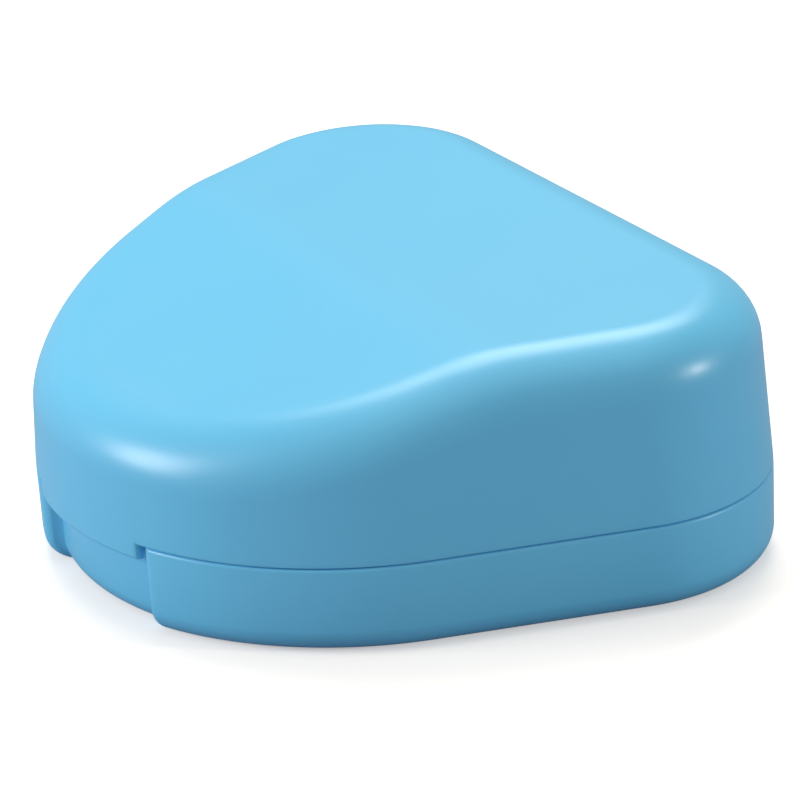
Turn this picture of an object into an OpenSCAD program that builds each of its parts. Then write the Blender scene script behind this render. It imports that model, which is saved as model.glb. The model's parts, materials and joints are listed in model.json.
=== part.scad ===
// Hinged case for an orthodontic retainer: a shallow tray and a deep lid of moulded
// polypropylene, turning on one steel pin behind the straight rear wall.
// Frame: X across the hinge, the rounded nose at -Y, the hinge at +Y, Z up.
// The origin is on the face the case stands on, midway between nose and rear wall.

/* [Plan outline] */
// Width across the two hinge corners
case_w = 78; // [72:1:90]
// Depth from the tip of the nose to the rear wall
case_d = 65; // [62:1:74]
// Radius of the nose
nose_r = 33; // [30:0.5:36]
// Radius of each hinge corner
corner_r = 16.3; // [13:0.1:18]

/* [Heights] */
// Height of the tray's rim, where the case parts
tray_h = 9.4; // [8.6:0.1:12]
// Height of the lid at the nose
nose_h = 21.7; // [20:0.1:23]
// Height of the lid at the head of its climb
crown_h = 28.25; // [26:0.05:32]

/* [Lid crown] */
// Distance from the tip of the nose to where the lid starts to climb
ramp_start = 1.8; // [0:0.1:4]
// Slope of the climb, in degrees
ramp_angle = 14.4; // [13:0.1:20]
// Radius of the hollow curve at the foot of the climb
ramp_foot_r = 28; // [10:1:30]
// Radius of the round curve at the head of the climb
ramp_head_r = 30; // [10:1:40]
// Slope of the rear half, behind the climb, in degrees
rear_slope = 0.6; // [0:0.1:2]

/* [Shell] */
// Wall thickness of both mouldings
wall = 2; // [1.8:0.1:2.4]
// Radius of the lid's upper edge
lid_edge_r = 5.8; // [4:0.1:6.5]
// Radius of the tray's lower edge
tray_edge_r = 2.8; // [2.2:0.1:4]
// Lean of the lid's wall, in degrees
lid_draft = 2.5; // [0:0.1:4]
// Lean of the tray's wall, in degrees
tray_draft = 1.2; // [0:0.1:3]

/* [Rim] */
// Height of the tongue that stands on the tray's rim
tongue_h = 1.5; // [1.2:0.1:2.5]
// Thickness of the lid's skirt, which goes round the tongue
skirt_t = 0.9; // [0.7:0.05:1]
// Side clearance between skirt and tongue
rim_gap = 0.2; // [0.15:0.05:0.3]
// Clearance between the top of the tongue and the lid's shoulder
seat_gap = 0.05; // [0.02:0.01:0.1]
// Open seam between the lid's skirt and the tray's rim
seam = 0.25; // [0.1:0.05:0.5]

/* [Thumb notch] */
// Width of the notch in the tray's nose, with its rounded corners
notch_w = 23.4; // [18:0.2:27]
// Depth of the notch
notch_depth = 1.8; // [1.7:0.1:2.2]
// Radius of the rounded corner at each end of the notch
notch_corner_r = 1.2; // [0.8:0.1:1.5]
// Radius of the notch's lower edge
notch_edge_r = 2.3; // [1.2:0.1:2.8]
// Run of the end walls of the notch and of the tab, which stand almost square to the nose
end_run = 0.3; // [0.2:0.05:0.4]
// How far the lid's thumb tab hangs below the tray's rim
tab_drop = 1.6; // [0.8:0.1:2.5]
// Gap between each end of the tab and the end wall of the notch
tab_gap = 0.5; // [0.45:0.05:1.5]
// Ledge between the wall of the notch and the tongue above it
tongue_ledge = 0.3; // [0.2:0.05:0.5]

/* [Snap catch] */
// Length of the two snap beads
bead_l = 9; // [5:0.5:11]
// Clearance between the bead on the tongue and the one on the tab
bead_gap = 0.2; // [0.1:0.05:0.4]

/* [Hinge] */
// Diameter of the steel pin
pin_d = 2; // [1.6:0.1:2.4]
// Diameter of the knuckles
knuckle_d = 4.8; // [4.4:0.1:5.4]
// Length of each of the tray's two knuckles
tray_knuckle_l = 7; // [5:0.5:9]
// Length of the lid's middle knuckle
lid_knuckle_l = 14; // [10:0.5:18]
// Gap between knuckles, and between each knuckle and the other moulding's wall
knuckle_gap = 0.4; // [0.3:0.05:0.6]
// Thickness of the leaf that carries a knuckle
leaf_t = 1.8; // [1.4:0.1:2]
// Thickness of the ribs on a leaf
rib_t = 1.5; // [1:0.1:2]
// Angle round the knuckle at which a rib leaves it
rib_angle = 58; // [50:1:65]
// Radial running clearance of the lid's knuckle on the pin
pin_clearance = 0.05; // [0.02:0.01:0.1]
// Radial clearance of the pin in the tray's knuckles
pin_seat = 0.01; // [0.01:0.005:0.02]

/* [Hidden] */
plastic = "#7CCBF0";
steel = "#B9BEC4";

// Steps that the round stretches are drawn in
arc_step = 6;
edge_steps = 6;
side_steps = 10;
notch_corner_steps = 3;
round_fn = 64;

// Plan outline: the nose arc, two straight sides tangent to it, two corner arcs and a straight rear
nose_c = [0, nose_r - case_d / 2];
corner_c = [case_w / 2 - corner_r, case_d / 2 - corner_r];
rear_y = case_d / 2;
across = corner_c - nose_c;
side_angle = atan2(across.y, across.x) - acos((nose_r - corner_r) / norm(across));

// Half widths of the notch at its face and at its end walls, of the tab, and of the backing inside
notch_half = notch_w / 2;
notch_wall_x = notch_half - notch_corner_r;
tab_half = notch_wall_x - tab_gap;
backing_half = notch_wall_x + wall + end_run;

// Rim, from the outside in
tongue_out = skirt_t + rim_gap;
tongue_top = tray_h + tongue_h;
shoulder_z = tongue_top + seat_gap;
bead_r = (notch_depth + tongue_ledge - skirt_t - bead_gap) / 2;

// Hinge axis: level with the parting line, and clear of both rear walls
knuckle_r = knuckle_d / 2;
hinge_out = knuckle_r + knuckle_gap;
hinge_y = rear_y + hinge_out;
hinge_z = tray_h;
tray_knuckle_x = (lid_knuckle_l + tray_knuckle_l) / 2 + knuckle_gap;
pin_l = 2 * tray_knuckle_x + tray_knuckle_l;
// How far leaves and ribs are rooted in a wall, and how far cutters run past a face
root = 0.8;
overrun = 1;

// Evenly spaced values from a to b, without b
function steps(a, b, count) = [for (i = [0 : count - 1]) a + (b - a) * i / count];
function arc_count(a, b) = max(1, ceil(abs(b - a) / arc_step));
function unit(a) = [cos(a), sin(a)];

// A station is a point of the plan outline and the outward normal there
function arc_station(c, r, a) = [c + r * unit(a), unit(a)];
function inset_point(s, inset) = s[0] - inset * s[1];
function nose_angle_at(x) = asin(x / nose_r);

// The nose is stepped so that each end of the tab, the notch and the backing has a station
notch_corner_xs = [for (a = [90 : -90 / notch_corner_steps : 0]) notch_half - notch_corner_r * sin(a)];
nose_marks = [for (x = concat([0, tab_half - end_run, tab_half, notch_wall_x - end_run],
                              notch_corner_xs, [backing_half - end_run, backing_half]))
              nose_angle_at(x), 90 + side_angle];
nose_angles = [for (i = [0 : len(nose_marks) - 2])
    let (a = nose_marks[i], b = nose_marks[i + 1]) each steps(a, b, arc_count(a, b))];
nose_stations = [for (a = nose_angles) arc_station(nose_c, nose_r, a - 90)];
side_from = nose_c + nose_r * unit(side_angle);
side_to = corner_c + corner_r * unit(side_angle);
side_stations = [for (t = steps(0, 1, side_steps))
    [side_from + t * (side_to - side_from), unit(side_angle)]];
corner_angles = [each steps(side_angle, 90, arc_count(side_angle, 90)), 90];
corner_stations = [for (a = corner_angles) arc_station(corner_c, corner_r, a)];
right_half = concat(nose_stations, side_stations, corner_stations);
left_half = [for (i = [len(right_half) - 1 : -1 : 1])
    [for (v = right_half[i]) [-v.x, v.y]]];
stations = concat(right_half, left_half);

// 1 within the half width on the nose, 0 outside it, with a steep end wall between
function within(s, half) =
    s[0].y < nose_c.y ? min(1, max(0, (half - abs(s[0].x)) / end_run)) : 0;
function backing_at(s) = notch_depth * within(s, backing_half);
function tab_at(s) = (tab_drop + seam) * within(s, tab_half);

// Depth of the notch at a station: a rounded corner, then the end wall down to the full depth
function corner_depth(reach) = notch_corner_r - sqrt(notch_corner_r ^ 2 - reach ^ 2);
function notch_at(s) = let (reach = notch_half - abs(s[0].x))
    s[0].y > nose_c.y || reach <= 0 ? 0 :
    reach < notch_corner_r ? corner_depth(reach) :
    notch_corner_r + (notch_depth - notch_corner_r) * within(s, notch_wall_x);
// Radius of the tray's lower edge at a station
function edge_r_at(s) = tray_edge_r + (notch_edge_r - tray_edge_r) * notch_at(s) / notch_depth;

// Height of the lid's top along Y: low at the nose, a climb between two arcs, almost level to the rear
ramp_y = ramp_start - case_d / 2;
foot_rise = ramp_foot_r * (1 - cos(ramp_angle));
head_rise = ramp_head_r * (cos(rear_slope) - cos(ramp_angle));
foot_end = ramp_y + ramp_foot_r * sin(ramp_angle);
head_start = foot_end + (crown_h - nose_h - foot_rise - head_rise) / tan(ramp_angle);
head_top = head_start + ramp_head_r * sin(ramp_angle);
head_end = head_top - ramp_head_r * sin(rear_slope);
head_c_z = crown_h - ramp_head_r * cos(rear_slope);
function crown(y) =
    y <= ramp_y ? nose_h :
    y <= foot_end ? nose_h + ramp_foot_r - sqrt(ramp_foot_r ^ 2 - (y - ramp_y) ^ 2) :
    y <= head_start ? nose_h + foot_rise + (y - foot_end) * tan(ramp_angle) :
    y <= head_end ? head_c_z + sqrt(ramp_head_r ^ 2 - (head_top - y) ^ 2) :
    crown_h + (y - head_end) * tan(rear_slope);

// One ring of the lid, set in from the outline and hung below the crown, leaning in with height
function lid_ring(inset, drop) = [for (s = stations)
    let (z = crown(inset_point(s, inset).y) - drop,
         p = inset_point(s, inset + (z - tray_h) * tan(lid_draft)))
    [p.x, p.y, z]];

// The edge of the lid turns between level and upright in equal steps
edge_angles = [for (i = [0 : edge_steps]) 90 * i / edge_steps];
edge_angles_down = [for (i = [edge_steps : -1 : 0]) 90 * i / edge_steps];
function lid_edge(inset, drop, r, angles) = [for (a = angles)
    lid_ring(inset + r * (1 - cos(a)), drop + r * (1 - sin(a)))];

function skirt_ring(inset) = [for (s = stations)
    let (p = inset_point(s, inset)) [p.x, p.y, tray_h + seam - tab_at(s)]];
function level_ring(inset, z) = [for (s = stations)
    let (p = inset_point(s, inset)) [p.x, p.y, z]];

lid_rings = concat(
    lid_edge(0, 0, lid_edge_r, edge_angles_down),
    [skirt_ring(0), skirt_ring(skirt_t), level_ring(skirt_t, shoulder_z),
     level_ring(wall + (shoulder_z - tray_h) * tan(lid_draft), shoulder_z)],
    lid_edge(wall, wall, lid_edge_r - wall, edge_angles));

// One ring of the tray, with the notch pressed into it and the backing behind the notch. Its lower
// edge turns from upright to level as the angle goes from 0 to 90.
function tray_lean(z) = max(0, tray_h - z) * tan(tray_draft);
function tray_edge(a) = [for (s = stations)
    let (r = edge_r_at(s), z = r * (1 - sin(a)),
         p = inset_point(s, notch_at(s) + r * (1 - cos(a)) + tray_lean(z)))
    [p.x, p.y, z]];
function tray_rim() = [for (s = stations) let (p = inset_point(s, notch_at(s))) [p.x, p.y, tray_h]];
function tray_inner(inset, z) = [for (s = stations)
    let (p = inset_point(s, inset + wall + backing_at(s) + tray_lean(z))) [p.x, p.y, z]];
function tongue_ring(z) = [for (s = stations)
    let (p = inset_point(s, max(tongue_out, notch_at(s) + tongue_ledge))) [p.x, p.y, z]];

floor_edge_r = max(tray_edge_r - wall, wall / 2);
tray_rings = concat(
    [for (a = edge_angles_down)
        tray_inner(floor_edge_r * (1 - cos(a)), wall + floor_edge_r * (1 - sin(a)))],
    [tray_inner(0, tongue_top), tongue_ring(tongue_top), tongue_ring(tray_h), tray_rim()],
    [for (a = edge_angles) tray_edge(a)]);
tray_hubs = [for (z = [wall, 0]) [nose_c.x, nose_c.y, z]];

// Faces that close a ring: a fan to a hub, or strips straight across X between the ring's two halves
function fan(first, n, hub) = [for (i = [0 : n - 1]) [first + i, first + (i + 1) % n, hub]];
function strips(first, n) = [for (f = concat([[0, 1, n - 1]],
        [for (i = [1 : (n - 3) / 2]) each [[i, i + 1, n - i - 1], [i, n - i - 1, n - i]]]))
    [for (v = f) first + v]];
function flipped(faces) = [for (f = faces) [f[2], f[1], f[0]]];

// A closed skin through rings of equal length. The first ring is closed facing up and the last facing
// down: by fans to the two hubs, or by strips where there are none.
module skin(rings, hubs = []) {
    n = len(rings[0]);
    last = (len(rings) - 1) * n;
    hub = last + n;
    sides = [for (j = [0 : len(rings) - 2], i = [0 : n - 1])
        let (a = j * n + i, b = j * n + (i + 1) % n)
        each [[a, b, b + n], [a, b + n, a + n]]];
    up = len(hubs) > 0 ? fan(0, n, hub) : strips(0, n);
    down = len(hubs) > 0 ? fan(last, n, hub + 1) : strips(last, n);
    polyhedron(concat([for (r = rings) each r], hubs), concat(sides, flipped(up), down), convexity = 8);
}

// A round bar along X, centred at x on the hinge axis
module hinge_bar(r, length, x = 0) {
    translate([x - length / 2, hinge_y, hinge_z])
        rotate([0, 90, 0]) cylinder(r = r, h = length, $fn = round_fn);
}

// A flat outline, drawn from the hinge axis in Y and Z, made into a plate that starts at x
module hinge_plate(outline, thickness, x) {
    translate([x, hinge_y, hinge_z])
        rotate([90, 0, 90]) linear_extrude(thickness) polygon(outline);
}

// A knuckle on its leaf, with ribs, hung from the lid (side 1) or standing on the tray (side -1)
module knuckle(length, x, side, ribs) {
    wall_y = -hinge_out - root;
    leave = knuckle_r * unit(rib_angle);
    climb = (leave.x - wall_y) / tan(rib_angle);
    leaf_z = side > 0 ? seam : 0;
    hinge_bar(knuckle_r, length, x);
    hinge_plate([[wall_y, side * leaf_z], [0, side * leaf_z],
                 [0, side * (leaf_z + leaf_t)], [wall_y, side * (leaf_z + leaf_t)]],
                length, x - length / 2);
    for (i = [0 : ribs - 1])
        hinge_plate([[0, side * leaf_z], [leave.x, side * leave.y],
                     [wall_y, side * (leave.y + climb)], [wall_y, side * leaf_z]],
                    rib_t, x - length / 2 + i * (length - rib_t) / (ribs - 1));
}

// A bead of the snap catch: a round bar bent to follow the nose
module snap_bead(inset, z) {
    path_r = nose_r - inset;
    sweep = bead_l / path_r * 180 / PI;
    translate([nose_c.x, nose_c.y, z])
        rotate([0, 0, -90 - sweep / 2])
            rotate_extrude(angle = sweep, $fn = round_fn)
                translate([path_r, 0]) circle(r = bead_r, $fn = round_fn);
}

module tray() {
    color(plastic) difference() {
        union() {
            skin(tray_rings, tray_hubs);
            for (side = [-1, 1])
                knuckle(tray_knuckle_l, side * tray_knuckle_x, -1, 2);
            snap_bead(notch_depth + tongue_ledge, tray_h + tongue_h / 2);
        }
        hinge_bar(pin_d / 2 + pin_seat, pin_l + 2 * overrun);
    }
}

module lid() {
    color(plastic) difference() {
        union() {
            skin(lid_rings);
            knuckle(lid_knuckle_l, 0, 1, 3);
            snap_bead(skirt_t, tray_h - bead_r);
        }
        hinge_bar(pin_d / 2 + pin_clearance, lid_knuckle_l + 2 * overrun);
    }
}

module hinge_pin() {
    color(steel) hinge_bar(pin_d / 2, pin_l);
}

tray();
lid();
hinge_pin();
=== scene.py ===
"""A hinged retainer case of moulded polypropylene, closed, on a white studio floor.

The tray, the lid and the hinge pin are modelled in millimetres from the CAD frame's own boxes and hinge
axis, and brought to the frame's metres when they are done. X runs across the hinge, the rounded nose is at
-Y and Z is up.
"""
import json
import math

import bmesh
import bpy
from mathutils import Matrix, Quaternion, Vector


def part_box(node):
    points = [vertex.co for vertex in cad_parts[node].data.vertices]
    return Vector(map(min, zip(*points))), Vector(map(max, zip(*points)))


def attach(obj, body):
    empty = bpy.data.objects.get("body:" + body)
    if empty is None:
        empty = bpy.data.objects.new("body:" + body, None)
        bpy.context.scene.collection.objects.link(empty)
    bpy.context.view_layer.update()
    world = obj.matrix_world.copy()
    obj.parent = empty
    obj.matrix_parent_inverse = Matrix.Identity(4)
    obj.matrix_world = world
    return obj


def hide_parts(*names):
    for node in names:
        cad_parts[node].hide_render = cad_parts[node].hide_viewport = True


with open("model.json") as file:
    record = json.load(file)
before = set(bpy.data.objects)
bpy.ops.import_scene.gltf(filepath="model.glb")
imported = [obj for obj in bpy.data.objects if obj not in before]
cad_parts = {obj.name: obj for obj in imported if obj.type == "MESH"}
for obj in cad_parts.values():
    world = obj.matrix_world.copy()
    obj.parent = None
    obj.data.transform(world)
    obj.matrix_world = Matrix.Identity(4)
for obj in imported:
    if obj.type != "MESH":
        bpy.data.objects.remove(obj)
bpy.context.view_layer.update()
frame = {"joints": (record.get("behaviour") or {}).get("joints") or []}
bpy.ops.object.select_all(action="DESELECT")

MM = 0.001

# Sizes taken from the CAD frame
lid_low, lid_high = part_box("lid")
pin_low, pin_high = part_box("hinge_pin")
hinge = frame["joints"][0]
HINGE_Y = hinge["pos_m"][1] / MM
HINGE_Z = hinge["pos_m"][2] / MM
CASE_W = (lid_high.x - lid_low.x) / MM
REAR_Y = -lid_low.y / MM
CASE_D = 2 * REAR_Y
RIM_Z = HINGE_Z
PIN_L = (pin_high.x - pin_low.x) / MM
PIN_D = (pin_high.z - pin_low.z) / MM

# Tolerances: the upright share of a level face's normal, places that count as one, vertices that the cuts
# left in one place, how far a cut runs past what it cuts, and the sharpest edge that is shaded smooth
LEVEL_NORMAL = 0.9
NEAR = 0.01
SAME_PLACE = 0.002
PAST = 1.0
SMOOTH_ANGLE = math.radians(32)

# Plan outline: a round nose, two straight sides and two round hinge corners
NOSE_R = 33.0
CORNER_R = 16.3
NOSE_Y = NOSE_R - REAR_Y
NOSE_FRONT_Y = NOSE_Y - 0.6 * NOSE_R
CORNER_X = CASE_W / 2 - CORNER_R
CORNER_Y = REAR_Y - CORNER_R
ROUND_SIDES = 240
SIDE_CUTS = 24

# Lid: height along Y, wall and rounded upper edge
NOSE_H = 21.7
CROWN_H = 28.25
RAMP_Y = 1.8 - REAR_Y
RAMP_ANGLE = math.radians(14.4)
FOOT_R = 28.0
HEAD_R = 30.0
REAR_SLOPE = math.radians(0.6)
WALL = 2.0
LID_EDGE_R = 5.8
LID_LEAN = math.tan(math.radians(2.5))
EDGE_STEPS = 14

# Tray: rounded lower edge, floor and tongue
TRAY_EDGE_R = 2.8
TRAY_LEAN = math.tan(math.radians(1.2))
FLOOR_R = 1.0
TONGUE_H = 1.5

# Rim: the lid's skirt goes round the tray's tongue, and a fine seam shows at the parting line
SKIRT_T = 0.9
RIM_GAP = 0.2
SEAM = 0.12
SHOULDER_GAP = 0.05
SKIRT_Z = RIM_Z + SEAM
TONGUE_IN = SKIRT_T + RIM_GAP
TONGUE_TOP = RIM_Z + TONGUE_H
SHOULDER_Z = TONGUE_TOP + SHOULDER_GAP
SKIRT_ROUND = 0.15
RIM_ROUND = 0.35
LIP_ROUND = 0.2
RIM_STEPS = 4
# Width of the narrow bands beside a rounded edge, which keep its shading off the flat faces
BAND = 0.5

# Thumb notch in the tray's nose
NOTCH_HALF = 11.7
NOTCH_DEPTH = 1.8
NOTCH_CORNER_R = 1.2
NOTCH_EDGE_R = 2.3
NOTCH_CORNER_STEPS = 6
END_RUN = 0.3
NOTCH_WALL_X = NOTCH_HALF - NOTCH_CORNER_R
TONGUE_LEDGE = 0.3
BACKING_HALF = NOTCH_WALL_X + WALL + END_RUN

# Tab of the lid that hangs into the notch; its first step takes it clear of the skirt's round
TAB_GAP = 0.5
TAB_HALF = NOTCH_WALL_X - TAB_GAP
TAB_DROP = 1.6
TAB_ROUND = 0.38
TAB_END_R = 0.5
TAB_CLEAR = 0.03
TAB_STEP = SKIRT_ROUND + TAB_CLEAR

# Beads of the snap catch, one on the lid's skirt and one on the tray's tongue
BEAD_L = 9.0
BEAD_GAP = 0.2
BEAD_R = (NOTCH_DEPTH + TONGUE_LEDGE - SKIRT_T - BEAD_GAP) / 2
BEAD_SIDES = 24
BEAD_STEPS = 18

# Hinge
KNUCKLE_R = 2.4
TRAY_KNUCKLE_L = 7.0
LID_KNUCKLE_L = 14.0
KNUCKLE_GAP = 0.4
TRAY_KNUCKLE_X = (LID_KNUCKLE_L + TRAY_KNUCKLE_L) / 2 + KNUCKLE_GAP
LEAF_T = 1.8
RIB_T = 1.5
RIB_ANGLE = math.radians(58)
LID_RIBS = 3
TRAY_RIBS = 2
ROOT = 0.8
KNUCKLE_CHAMFER = 0.3
PIN_CHAMFER = 0.25
CHAMFER_STEPS = 3
TRAY_PIN_GAP = 0.01
LID_PIN_GAP = 0.05
TRAY_BORE_R = PIN_D / 2 + TRAY_PIN_GAP
LID_BORE_R = PIN_D / 2 + LID_PIN_GAP
HINGE_SIDES = 64

# Polypropylene: the tints and size of its flow marks, the size, depth and strength of its peel, its gloss
FLOW_TINTS = ("#6BC9F3", "#71CDF5")
FLOW_MM = 16.0
PEEL_MM = 1.2
PEEL_DEPTH_MM = 0.2
PEEL_STRENGTH = 0.006
MOULD_DETAIL = 2.0
PLASTIC_ROUGHNESS = (0.32, 0.35)
PLASTIC_IOR = 1.49
PLASTIC_SPECULAR = 0.65

# Steel wire: the tones of its drawn lines, their length and width, and its roughness across them
LINE_TONES = ("#B4B8BC", "#D2D5D8")
DRAWN_LINE_MM = (25.0, 0.25, 0.25)
LINE_DETAIL = 3.0
STEEL_ROUGHNESS = (0.22, 0.4)

# Camera: fitted to the photograph's outline, with the pixel at which the target lies in it
IMAGE_PX = 800
TARGET = Vector((0, 0, 12)) * MM
TARGET_PX = (353.5, 410.4)
VIEW_AZIMUTH = math.radians(60.764)
VIEW_ELEVATION = math.radians(23.319)
VIEW_ROLL = math.radians(-3.843)
VIEW_DISTANCE = 582.3 * MM
FOCAL_PX = 5733
SENSOR_MM = 36
CLIP_START = 0.01

# Studio, in metres. The camera sees the floor's paper and glow, and the case is lit by the floor's bounce
FLOOR_SIZE = 4.0
SHADOW_REACH = 0.15
FLOOR_GLOW = 0.41
FLOOR_PAPER = "#FAF1E9"
FLOOR_BOUNCE = "#959BAB"
SURROUNDINGS = 0.3
REFLECTED_WHITE = 0.1
WHITE = "#FFFFFF"
WARM = "#FFFDF7"

# Soft boxes: direction from the case, width and height, level, turn in degrees and colour
LIGHT_DISTANCE = 0.7
SOFT_BOXES = {
    "top_light": ((0.35, -0.05, 1), 0.6, 0.6, 0.09, 0, WARM),
    "rear_light": ((-0.45, 0.29, 0.97), 0.56, 0.32, 0.66, 48, WARM),
    "nose_light": ((-0.33, -0.88, 0.35), 0.28, 0.28, 0.52, 0, WHITE),
    "corner_light": ((0.76, 0.61, 0.23), 0.04, 0.06, 0.23, 0, WARM),
}


# Edit-mode helpers

def edit_mesh():
    """The mesh being edited, for selecting by place."""
    return bmesh.from_edit_mesh(bpy.context.object.data)


def select_faces(rule):
    """Selects the faces whose centre and normal meet the rule."""
    bpy.ops.mesh.select_mode(type="FACE")
    bpy.ops.mesh.select_all(action="DESELECT")
    mesh = edit_mesh()
    for face in mesh.faces:
        face.select = rule(face.calc_center_median(), face.normal)
    mesh.select_flush_mode()
    bmesh.update_edit_mesh(bpy.context.object.data)


def select_edges(rule):
    """Selects the edges whose two ends meet the rule."""
    bpy.ops.mesh.select_mode(type="EDGE")
    bpy.ops.mesh.select_all(action="DESELECT")
    mesh = edit_mesh()
    for edge in mesh.edges:
        edge.select = rule(edge, edge.verts[0].co, edge.verts[1].co)
    mesh.select_flush_mode()
    bmesh.update_edit_mesh(bpy.context.object.data)


def select_top():
    """Selects the level faces that look up."""
    select_faces(lambda centre, normal: normal.z > LEVEL_NORMAL)


def select_underside():
    """Selects the level faces that look down."""
    select_faces(lambda centre, normal: normal.z < -LEVEL_NORMAL)


def set_in(thickness, depth=0.0):
    """Sets the selected face in, and moves it along its normal."""
    bpy.ops.mesh.inset(thickness=thickness, depth=depth, use_even_offset=True)


def draw_out(distance):
    """Extrudes the selected face straight up or down."""
    bpy.ops.mesh.extrude_region_move(TRANSFORM_OT_translate={"value": (0, 0, distance)})


def quarter_turns(steps):
    """The angles of a quarter turn, in even steps."""
    return [math.radians(90) * i / steps for i in range(steps + 1)]


def round_in(radius, steps, rise):
    """Rounds the selected face's edge from an upright wall to a level face."""
    turns = quarter_turns(steps)
    for a, b in zip(turns, turns[1:]):
        set_in(radius * (math.cos(a) - math.cos(b)), rise * radius * (math.sin(b) - math.sin(a)))


def round_off(radius, steps, rise):
    """Rounds the selected face's edge from a level face to an upright wall."""
    turns = quarter_turns(steps)
    for a, b in zip(turns, turns[1:]):
        set_in(radius * (math.sin(b) - math.sin(a)), rise * radius * (math.cos(a) - math.cos(b)))


def bridge_across():
    """Closes the selected face's ring with strips that run straight across X."""
    bpy.ops.mesh.delete(type="ONLY_FACE")
    select_edges(lambda edge, a, b: edge.is_boundary and a.x * b.x > 0)
    bpy.ops.mesh.bridge_edge_loops()


def move_vertices(rule):
    """Moves every vertex of the active object to where the rule puts it."""
    for vertex in bpy.context.object.data.vertices:
        vertex.co = rule(vertex.co)


def merge_caps():
    """Makes one face of each level end of the piece."""
    select_faces(lambda centre, normal: abs(normal.z) > LEVEL_NORMAL)
    bpy.ops.mesh.dissolve_faces()


def plan_prism(name, low, high):
    """The plan of the case as an upright prism: a hull round three posts, cut straight at the rear."""
    half_step = math.pi / ROUND_SIDES
    posts = [(0, NOSE_Y, NOSE_R, half_step),
             (CORNER_X, CORNER_Y, CORNER_R, 0),
             (-CORNER_X, CORNER_Y, CORNER_R, 0)]
    made = []
    for x, y, radius, turn in posts:
        bpy.ops.mesh.primitive_cylinder_add(vertices=ROUND_SIDES, radius=radius, depth=high - low,
                                            location=(x, y, (low + high) / 2), rotation=(0, 0, turn))
        made.append(bpy.context.object)
    for post in made:
        post.select_set(True)
    bpy.ops.object.join()
    bpy.ops.object.transform_apply(location=True, rotation=True, scale=True)
    piece = bpy.context.object
    piece.name = name
    piece.data.name = name
    bpy.ops.object.mode_set(mode="EDIT")
    bpy.ops.mesh.select_all(action="SELECT")
    bpy.ops.mesh.convex_hull()
    merge_caps()
    bpy.ops.mesh.select_all(action="SELECT")
    bpy.ops.mesh.bisect(plane_co=(0, REAR_Y, 0), plane_no=(0, 1, 0), use_fill=True, clear_outer=True)
    select_edges(lambda edge, a, b: abs(a.z - b.z) < NEAR and abs(a.y - b.y) > CORNER_R / 2)
    bpy.ops.mesh.subdivide(number_cuts=SIDE_CUTS)
    merge_caps()
    return piece


# Shape rules shared by lid and tray

def crown(y):
    """Height of the lid's top: low at the nose, a climb between two arcs, almost level to the rear."""
    foot_end = RAMP_Y + FOOT_R * math.sin(RAMP_ANGLE)
    foot_rise = FOOT_R * (1 - math.cos(RAMP_ANGLE))
    head_rise = HEAD_R * (math.cos(REAR_SLOPE) - math.cos(RAMP_ANGLE))
    head_start = foot_end + (CROWN_H - NOSE_H - foot_rise - head_rise) / math.tan(RAMP_ANGLE)
    head_top = head_start + HEAD_R * math.sin(RAMP_ANGLE)
    head_end = head_top - HEAD_R * math.sin(REAR_SLOPE)
    if y <= RAMP_Y:
        return NOSE_H
    if y <= foot_end:
        return NOSE_H + FOOT_R - math.sqrt(FOOT_R ** 2 - (y - RAMP_Y) ** 2)
    if y <= head_start:
        return NOSE_H + foot_rise + (y - foot_end) * math.tan(RAMP_ANGLE)
    if y <= head_end:
        return CROWN_H - HEAD_R * math.cos(REAR_SLOPE) + math.sqrt(HEAD_R ** 2 - (head_top - y) ** 2)
    return CROWN_H + (y - head_end) * math.tan(REAR_SLOPE)


def lean_in(point, distance):
    """A point moved in towards the middle of the plan by about the distance, for the draft of a wall."""
    return Vector((point.x * (1 - 2 * distance / CASE_W), point.y * (1 - 2 * distance / CASE_D), point.z))


def drawn_in(reach, radius):
    """How far a rounded edge has drawn in, at a reach past the place where the round starts."""
    reach = min(max(reach, 0.0), radius)
    return radius - math.sqrt(radius ** 2 - reach ** 2)


def step_at(x, half):
    """1 within the half width, 0 outside it, with a steep end wall between."""
    return min(1.0, max(0.0, (half - abs(x)) / END_RUN))


def notch_at(x):
    """Depth of the notch: a rounded corner, then the end wall down to the full depth."""
    corner = drawn_in(NOTCH_HALF - abs(x), NOTCH_CORNER_R)
    return corner + (NOTCH_DEPTH - NOTCH_CORNER_R) * step_at(x, NOTCH_WALL_X)


def cut_nose(xs, low, high):
    """Cuts the nose, between two heights, by upright planes through its axis at places along the outline."""
    for x in xs:
        for side in (-1, 1):
            turn = side * math.asin(x / NOSE_R)
            select_faces(lambda c, n: c.y < NOSE_FRONT_Y and low < c.z < high)
            bpy.ops.mesh.bisect(plane_co=(0, NOSE_Y, 0), plane_no=(math.cos(turn), math.sin(turn), 0))


# Hinge

def hinge_bar(radius, length, x, chamfer):
    """A round bar along the hinge axis with its end edges broken."""
    bpy.ops.mesh.primitive_cylinder_add(vertices=HINGE_SIDES, radius=radius, depth=length,
                                        location=(x, HINGE_Y, HINGE_Z), rotation=(0, math.radians(90), 0))
    bpy.ops.object.transform_apply(location=True, rotation=True, scale=True)
    bpy.ops.object.mode_set(mode="EDIT")
    select_edges(lambda edge, a, b: abs(a.x - b.x) < NEAR)
    if chamfer:
        bpy.ops.mesh.bevel(offset=chamfer, segments=CHAMFER_STEPS, affect="EDGES")
    bpy.ops.object.mode_set(mode="OBJECT")
    return bpy.context.object


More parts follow.
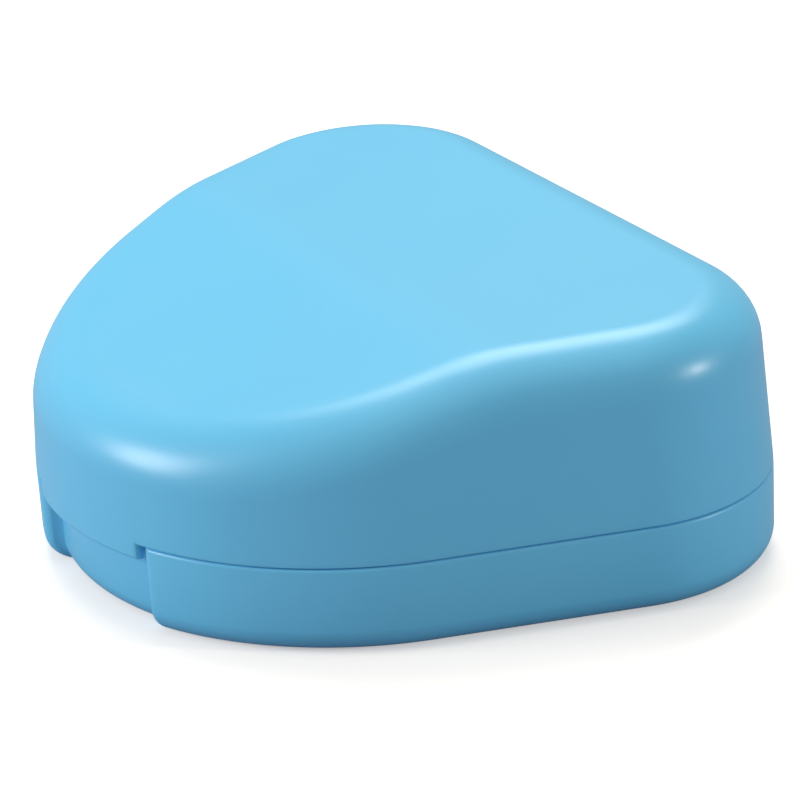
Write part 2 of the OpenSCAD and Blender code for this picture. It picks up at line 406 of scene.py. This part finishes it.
def hinge_plate(corners, thickness, x):
    """A four-cornered outline, drawn from the hinge axis in Y and Z, extruded along X from x."""
    bpy.ops.mesh.primitive_plane_add(size=1)
    plate = bpy.context.object
    order = (0, 1, 3, 2)
    for i, (y, z) in zip(order, corners):
        plate.data.vertices[i].co = (x, HINGE_Y + y, HINGE_Z + z)
    bpy.ops.object.mode_set(mode="EDIT")
    bpy.ops.mesh.select_all(action="SELECT")
    bpy.ops.mesh.extrude_region_move(TRANSFORM_OT_translate={"value": (thickness, 0, 0)})
    bpy.ops.mesh.select_all(action="SELECT")
    bpy.ops.mesh.normals_make_consistent(inside=False)
    bpy.ops.object.mode_set(mode="OBJECT")
    return plate


def pick(piece):
    """Makes the piece the only one that is selected, and the active one."""
    bpy.ops.object.select_all(action="DESELECT")
    bpy.context.view_layer.objects.active = piece
    piece.select_set(True)


def combine(piece, other, operation):
    """Joins another solid to the piece, or cuts it away, and removes it."""
    pick(piece)
    boolean = piece.modifiers.new("combine", "BOOLEAN")
    boolean.operation = operation
    boolean.solver = "EXACT"
    boolean.object = other
    bpy.ops.object.modifier_apply(modifier=boolean.name)
    bpy.data.objects.remove(other)


def add_knuckle(piece, length, x, side, ribs):
    """A knuckle on its leaf, with ribs, hung from the lid (side 1) or standing on the tray (side -1)."""
    wall_y = REAR_Y - HINGE_Y - ROOT
    leave_y = KNUCKLE_R * math.cos(RIB_ANGLE)
    leave_z = KNUCKLE_R * math.sin(RIB_ANGLE)
    climb = (leave_y - wall_y) / math.tan(RIB_ANGLE)
    leaf_z = SEAM if side > 0 else 0.0
    leaf = [(wall_y, side * leaf_z), (0, side * leaf_z),
            (0, side * (leaf_z + LEAF_T)), (wall_y, side * (leaf_z + LEAF_T))]
    rib = [(0, side * leaf_z), (leave_y, side * leave_z),
           (wall_y, side * (leave_z + climb)), (wall_y, side * leaf_z)]
    combine(piece, hinge_plate(leaf, length, x - length / 2), "UNION")
    for i in range(ribs):
        start = x - length / 2 + i * (length - RIB_T) / (ribs - 1)
        combine(piece, hinge_plate(rib, RIB_T, start), "UNION")
    combine(piece, hinge_bar(KNUCKLE_R, length, x, KNUCKLE_CHAMFER), "UNION")


def snap_bead(inset, z):
    """A bead of the snap catch: a round bar bent to follow the nose."""
    path_r = NOSE_R - inset
    sweep = BEAD_L / path_r
    bpy.ops.mesh.primitive_circle_add(vertices=BEAD_SIDES, radius=BEAD_R, fill_type="NGON",
                                      location=(0, NOSE_Y - path_r, z), rotation=(0, math.radians(90), 0))
    bpy.ops.object.transform_apply(location=True, rotation=True, scale=True)
    bpy.ops.object.mode_set(mode="EDIT")
    bpy.ops.mesh.select_all(action="SELECT")
    bpy.ops.transform.rotate(value=-sweep / 2, orient_axis="Z", center_override=(0, NOSE_Y, z))
    bpy.ops.mesh.spin(steps=BEAD_STEPS, angle=sweep, center=(0, NOSE_Y, z), axis=(0, 0, 1))
    bpy.ops.mesh.select_all(action="SELECT")
    bpy.ops.mesh.remove_doubles(threshold=SAME_PLACE)
    bpy.ops.mesh.normals_make_consistent(inside=False)
    bpy.ops.object.mode_set(mode="OBJECT")
    return bpy.context.object


# Pieces

def make_lid():
    """The deep upper moulding: crown, wall, skirt, thumb tab, snap bead and middle knuckle."""
    edge_z = CROWN_H - LID_EDGE_R
    piece = plan_prism("lid_moulding", SKIRT_Z + SKIRT_ROUND + BAND, edge_z - BAND)
    select_top()
    draw_out(BAND)
    round_in(LID_EDGE_R, EDGE_STEPS, 1)
    set_in(BAND)
    bridge_across()

    select_underside()
    draw_out(-BAND)
    round_in(SKIRT_ROUND, RIM_STEPS, 1)
    set_in(SKIRT_T - SKIRT_ROUND - LIP_ROUND)
    round_off(LIP_ROUND, RIM_STEPS, -1)
    draw_out(SHOULDER_Z - SKIRT_Z - LIP_ROUND)
    set_in(WALL - SKIRT_T)
    draw_out(edge_z - SHOULDER_Z)
    round_in(LID_EDGE_R - WALL, EDGE_STEPS, -1)
    set_in(BAND)
    bridge_across()

    tab_xs = [TAB_HALF - TAB_END_R * (1 - math.cos(a)) for a in quarter_turns(RIM_STEPS)]
    cut_nose(tab_xs, SKIRT_Z - PAST, SKIRT_Z + SKIRT_ROUND)
    tab_turn = math.asin(TAB_HALF / NOSE_R)
    select_faces(lambda c, n: c.y < 0 and c.z < SKIRT_Z + SKIRT_ROUND
                 and abs(c.x) < (NOSE_Y - c.y) * math.tan(tab_turn))
    draw_out(-TAB_STEP)
    draw_out(TAB_ROUND - TAB_DROP - SEAM + TAB_STEP)
    for _ in range(RIM_STEPS):
        draw_out(-TAB_ROUND / RIM_STEPS)
    bpy.ops.object.mode_set(mode="OBJECT")

    def lift(point):
        """Brings the top to the crown's height, leans the wall in and rounds the edges of the tab."""
        if point.z < SKIRT_Z - NEAR:
            arm = Vector((point.x, point.y - NOSE_Y, 0))
            below = drawn_in(RIM_Z - TAB_DROP + TAB_ROUND - point.z, TAB_ROUND)
            beside = drawn_in(TAB_END_R - TAB_HALF + NOSE_R * abs(arm.x) / arm.length, TAB_END_R)
            inset = beside + (NOSE_R - arm.length) * (1 - beside / SKIRT_T)
            return Vector((0, NOSE_Y, point.z)) + arm.normalized() * (NOSE_R - max(below, inset))
        rise = crown(point.y) - CROWN_H if point.z > SHOULDER_Z + NEAR else 0.0
        raised = Vector((point.x, point.y, point.z + rise))
        return lean_in(raised, max(0.0, raised.z - RIM_Z) * LID_LEAN)

    move_vertices(lift)
    add_knuckle(piece, LID_KNUCKLE_L, 0, 1, LID_RIBS)
    combine(piece, snap_bead(SKIRT_T, RIM_Z - BEAD_R), "UNION")
    combine(piece, hinge_bar(LID_BORE_R, LID_KNUCKLE_L + 2 * PAST, 0, 0), "DIFFERENCE")
    return piece


def make_tray():
    """The shallow lower moulding: floor, wall, thumb notch, tongue, snap bead and two knuckles."""
    piece = plan_prism("tray_moulding", TRAY_EDGE_R + BAND, RIM_Z - RIM_ROUND)
    select_underside()
    draw_out(-BAND)
    round_in(TRAY_EDGE_R, EDGE_STEPS, 1)
    set_in(BAND)

    select_top()
    round_in(RIM_ROUND, RIM_STEPS, 1)
    set_in(TONGUE_IN - RIM_ROUND)
    draw_out(TONGUE_H - LIP_ROUND)
    round_in(LIP_ROUND, RIM_STEPS, 1)
    set_in(WALL - TONGUE_IN - 2 * LIP_ROUND)
    round_off(LIP_ROUND, RIM_STEPS, -1)
    draw_out(WALL + FLOOR_R - TONGUE_TOP + LIP_ROUND)
    round_in(FLOOR_R, RIM_STEPS, -1)
    set_in(BAND)

    corner_xs = [NOTCH_HALF - NOTCH_CORNER_R * math.sin(a) for a in quarter_turns(NOTCH_CORNER_STEPS)]
    wall_xs = [NOTCH_WALL_X - END_RUN, BACKING_HALF - END_RUN, BACKING_HALF]
    cut_nose(wall_xs + corner_xs, -PAST, TONGUE_TOP + PAST)
    select_faces(lambda c, n: abs(n.z) > LEVEL_NORMAL and c.xy.length < CORNER_R)
    bpy.ops.mesh.poke()
    bpy.ops.object.mode_set(mode="OBJECT")
    tongue_middle = (TONGUE_IN + WALL) / 2

    def press(point):
        """Presses the notch into the outer wall, and the wall behind it in by as much."""
        leant = lean_in(point, max(0.0, RIM_Z - point.z) * TRAY_LEAN)
        if point.y > NOSE_Y:
            return leant
        arm = Vector((point.x, point.y - NOSE_Y, 0))
        x = NOSE_R * arm.normalized().x
        inset = NOSE_R - arm.length
        drop = 1.0
        if inset > tongue_middle and point.z > WALL - NEAR:
            push = NOTCH_DEPTH * step_at(x, BACKING_HALF)
        elif inset > TONGUE_IN - NEAR and point.z > RIM_Z - NEAR:
            push = max(0.0, notch_at(x) + TONGUE_LEDGE - TONGUE_IN)
        else:
            push = notch_at(x)
            if point.z < TRAY_EDGE_R:
                drop = 1 + (NOTCH_EDGE_R / TRAY_EDGE_R - 1) * push / NOTCH_DEPTH
                push -= inset * (1 - drop)
        moved = leant - arm.normalized() * push
        return Vector((moved.x, moved.y, moved.z * drop))

    move_vertices(press)
    for side in (-1, 1):
        add_knuckle(piece, TRAY_KNUCKLE_L, side * TRAY_KNUCKLE_X, -1, TRAY_RIBS)
    combine(piece, snap_bead(NOTCH_DEPTH + TONGUE_LEDGE, RIM_Z + TONGUE_H / 2), "UNION")
    combine(piece, hinge_bar(TRAY_BORE_R, PIN_L + 2 * PAST, 0, 0), "DIFFERENCE")
    return piece


def make_pin():
    """The steel pin, with its two ends broken by a small round."""
    piece = hinge_bar(PIN_D / 2, PIN_L, 0, PIN_CHAMFER)
    piece.name = "steel_pin"
    piece.data.name = "steel_pin"
    return piece


# Materials

def linear(hex_colour):
    """An sRGB hex colour as the linear values that the nodes take."""
    channels = [int(hex_colour[i:i + 2], 16) / 255 for i in (1, 3, 5)]
    return [c / 12.92 if c <= 0.04045 else ((c + 0.055) / 1.055) ** 2.4 for c in channels] + [1.0]


def add_node(tree, kind, settings=None, **inputs):
    """Adds a node with its settings, and sets or links its inputs by name, or by number after a _."""
    node = tree.nodes.new(kind)
    for key, value in (settings or {}).items():
        setattr(node, key, value)
    for key, value in inputs.items():
        socket = node.inputs[int(key[1:]) if key.startswith("_") else key.replace("_", " ")]
        if isinstance(value, bpy.types.NodeSocket):
            tree.links.new(value, socket)
        else:
            socket.default_value = value
    return node


def marks_per_metre(size_mm):
    """A pattern's scale, from the size of one of its marks."""
    return 1 / (size_mm * MM)


def new_material(name):
    """An empty node material and its tree."""
    material = bpy.data.materials.new(name)
    material.use_nodes = True
    material.node_tree.nodes.clear()
    return material, material.node_tree


def moulded_polypropylene():
    """Injection-moulded polypropylene, pigmented light blue, from a polished mould.

    The pigment hides the wall's depth, so the eye reads one even colour, with flow marks too faint to see
    as lines. The skin has the soft gloss of polypropylene: highlights have blurred edges, and a slight
    peel from the mould keeps them from looking like glass.
    """
    material, tree = new_material("moulded_polypropylene")
    place = add_node(tree, "ShaderNodeTexCoord")
    flow = add_node(tree, "ShaderNodeTexNoise", Vector=place.outputs["Object"],
                    Scale=marks_per_metre(FLOW_MM), Detail=MOULD_DETAIL)
    tint = add_node(tree, "ShaderNodeMix", {"data_type": "RGBA"}, Factor=flow.outputs["Fac"],
                    _6=linear(FLOW_TINTS[0]), _7=linear(FLOW_TINTS[1]))
    peel = add_node(tree, "ShaderNodeTexNoise", Vector=place.outputs["Object"],
                    Scale=marks_per_metre(PEEL_MM), Detail=MOULD_DETAIL)
    polish = add_node(tree, "ShaderNodeMapRange", Value=peel.outputs["Fac"],
                      To_Min=PLASTIC_ROUGHNESS[0], To_Max=PLASTIC_ROUGHNESS[1])
    relief = add_node(tree, "ShaderNodeBump", Height=peel.outputs["Fac"], Strength=PEEL_STRENGTH,
                      Distance=PEEL_DEPTH_MM * MM)
    skin = add_node(tree, "ShaderNodeBsdfPrincipled", Base_Color=tint.outputs[2],
                    Roughness=polish.outputs["Result"], Normal=relief.outputs["Normal"],
                    IOR=PLASTIC_IOR, Specular_IOR_Level=PLASTIC_SPECULAR)
    add_node(tree, "ShaderNodeOutputMaterial", Surface=skin.outputs["BSDF"])
    return material


def drawn_steel():
    """Stainless steel wire, drawn through a die and cut to length.

    The die leaves fine lines along the wire, which stretch its highlight round the pin and streak it. The
    real lines are a few hundredths of a millimetre wide; they are drawn coarser, so that they show.
    """
    material, tree = new_material("drawn_steel")
    place = add_node(tree, "ShaderNodeTexCoord")
    along = add_node(tree, "ShaderNodeMapping", Vector=place.outputs["Object"],
                     Scale=[marks_per_metre(size) for size in DRAWN_LINE_MM])
    lines = add_node(tree, "ShaderNodeTexNoise", Vector=along.outputs["Vector"], Scale=1.0,
                     Detail=LINE_DETAIL)
    tone = add_node(tree, "ShaderNodeMix", {"data_type": "RGBA"}, Factor=lines.outputs["Fac"],
                    _6=linear(LINE_TONES[0]), _7=linear(LINE_TONES[1]))
    polish = add_node(tree, "ShaderNodeMapRange", Value=lines.outputs["Fac"],
                      To_Min=STEEL_ROUGHNESS[0], To_Max=STEEL_ROUGHNESS[1])
    skin = add_node(tree, "ShaderNodeBsdfPrincipled", Base_Color=tone.outputs[2],
                    Roughness=polish.outputs["Result"], Metallic=1.0)
    add_node(tree, "ShaderNodeOutputMaterial", Surface=skin.outputs["BSDF"])
    return material


def finish_piece(piece, body, node, material):
    """Merges what the cuts left in one place, brings the piece to metres and puts it in its node's place."""
    pick(piece)
    bpy.ops.object.mode_set(mode="EDIT")
    bpy.ops.mesh.select_all(action="SELECT")
    bpy.ops.mesh.remove_doubles(threshold=SAME_PLACE)
    bpy.ops.mesh.dissolve_degenerate(threshold=SAME_PLACE)
    bpy.ops.mesh.normals_make_consistent(inside=False)
    bpy.ops.object.mode_set(mode="OBJECT")
    piece.scale = (MM, MM, MM)
    bpy.ops.object.transform_apply(location=True, rotation=True, scale=True)
    bpy.ops.object.shade_smooth_by_angle(angle=SMOOTH_ANGLE)
    piece.data.materials.clear()
    piece.data.materials.append(material)
    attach(piece, body)
    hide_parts(node)


plastic = moulded_polypropylene()
steel = drawn_steel()
finish_piece(make_lid(), "cover", "lid", plastic)
finish_piece(make_tray(), "base", "tray", plastic)
finish_piece(make_pin(), "base", "hinge_pin", steel)


# Studio

def seen_white(tree):
    """1 for the camera, a part of it for reflections and see-through rays, 0 for light that bounces."""
    path = add_node(tree, "ShaderNodeLightPath")
    mirrored = add_node(tree, "ShaderNodeMath", {"operation": "MAXIMUM"}, _0=path.outputs["Is Glossy Ray"],
                        _1=path.outputs["Is Transmission Ray"])
    dimmed = add_node(tree, "ShaderNodeMath", {"operation": "MULTIPLY"}, _0=mirrored.outputs[0],
                      _1=REFLECTED_WHITE)
    return add_node(tree, "ShaderNodeMath", {"operation": "MAXIMUM"}, _0=path.outputs["Is Camera Ray"],
                    _1=dimmed.outputs[0]).outputs[0]


def studio_floor():
    """A plain white floor that keeps the case's shadow, and is evenly white beyond it."""
    bpy.ops.mesh.primitive_plane_add(size=FLOOR_SIZE)
    floor = bpy.context.object
    floor.name = "studio_floor"
    material, tree = new_material("white_paper")
    paper = add_node(tree, "ShaderNodeBsdfDiffuse", Color=linear(FLOOR_PAPER))
    glow = add_node(tree, "ShaderNodeEmission", Color=linear(WHITE), Strength=FLOOR_GLOW)
    near = add_node(tree, "ShaderNodeAddShader", _0=paper.outputs["BSDF"], _1=glow.outputs["Emission"])
    far = add_node(tree, "ShaderNodeEmission", Color=linear(WHITE), Strength=1.0)
    place = add_node(tree, "ShaderNodeTexCoord")
    reach = add_node(tree, "ShaderNodeVectorMath", {"operation": "LENGTH"}, _0=place.outputs["Object"])
    fade = add_node(tree, "ShaderNodeMapRange", Value=reach.outputs["Value"], From_Min=SHADOW_REACH,
                    From_Max=2 * SHADOW_REACH)
    bright = add_node(tree, "ShaderNodeMixShader", _0=fade.outputs["Result"], _1=near.outputs["Shader"],
                      _2=far.outputs["Emission"])
    bounce = add_node(tree, "ShaderNodeBsdfDiffuse", Color=linear(FLOOR_BOUNCE))
    cover = add_node(tree, "ShaderNodeMixShader", _0=seen_white(tree), _1=bounce.outputs["BSDF"],
                     _2=bright.outputs["Shader"])
    add_node(tree, "ShaderNodeOutputMaterial", Surface=cover.outputs["Shader"])
    floor.data.materials.append(material)


def studio_world():
    """Even grey surroundings, seen as pure white by the camera."""
    world = bpy.data.worlds.new("studio")
    bpy.context.scene.world = world
    world.use_nodes = True
    tree = world.node_tree
    tree.nodes.clear()
    strength = add_node(tree, "ShaderNodeMapRange", Value=seen_white(tree), To_Min=SURROUNDINGS, To_Max=1.0)
    sky = add_node(tree, "ShaderNodeBackground", Color=linear(WHITE), Strength=strength.outputs["Result"])
    add_node(tree, "ShaderNodeOutputWorld", Surface=sky.outputs["Background"])


def soft_box(name, direction, width, height, level, turn, colour):
    """A soft light that looks at the case from a direction; level 1 lights a white card to white."""
    light = bpy.data.lights.new(name, "AREA")
    light.shape = "RECTANGLE"
    light.color = linear(colour)[:3]
    light.size = width
    light.size_y = height
    light.energy = level * (math.pi * LIGHT_DISTANCE) ** 2
    lamp = bpy.data.objects.new(name, light)
    bpy.context.scene.collection.objects.link(lamp)
    heading = Vector(direction).normalized()
    lamp.location = TARGET + heading * LIGHT_DISTANCE
    facing = heading.to_track_quat("Z", "Y") @ Quaternion((0, 0, 1), math.radians(turn))
    lamp.rotation_euler = facing.to_euler()


def photo_camera():
    """The camera of the photograph, turned so that the middle of the picture is on its axis."""
    back = Vector((math.sin(VIEW_AZIMUTH) * math.cos(VIEW_ELEVATION),
                   -math.cos(VIEW_AZIMUTH) * math.cos(VIEW_ELEVATION), math.sin(VIEW_ELEVATION)))
    level = Vector((math.cos(VIEW_AZIMUTH), math.sin(VIEW_AZIMUTH), 0))
    upright = back.cross(level)
    right = level * math.cos(VIEW_ROLL) + upright * math.sin(VIEW_ROLL)
    up = upright * math.cos(VIEW_ROLL) - level * math.sin(VIEW_ROLL)
    middle = IMAGE_PX / 2
    axis = back * FOCAL_PX - right * (middle - TARGET_PX[0]) - up * (TARGET_PX[1] - middle)
    axis.normalize()
    side = up.cross(axis).normalized()
    data = bpy.data.cameras.new("photo_camera")
    data.sensor_width = SENSOR_MM
    data.lens = SENSOR_MM * FOCAL_PX / IMAGE_PX
    data.clip_start = CLIP_START
    camera = bpy.data.objects.new("photo_camera", data)
    bpy.context.scene.collection.objects.link(camera)
    turn = Matrix((side, axis.cross(side), axis)).transposed().to_4x4()
    camera.matrix_world = Matrix.Translation(TARGET + back * VIEW_DISTANCE) @ turn
    bpy.context.scene.camera = camera


studio_floor()
studio_world()
for name, settings in SOFT_BOXES.items():
    soft_box(name, *settings)
photo_camera()
bpy.context.scene.view_settings.view_transform = "Standard"
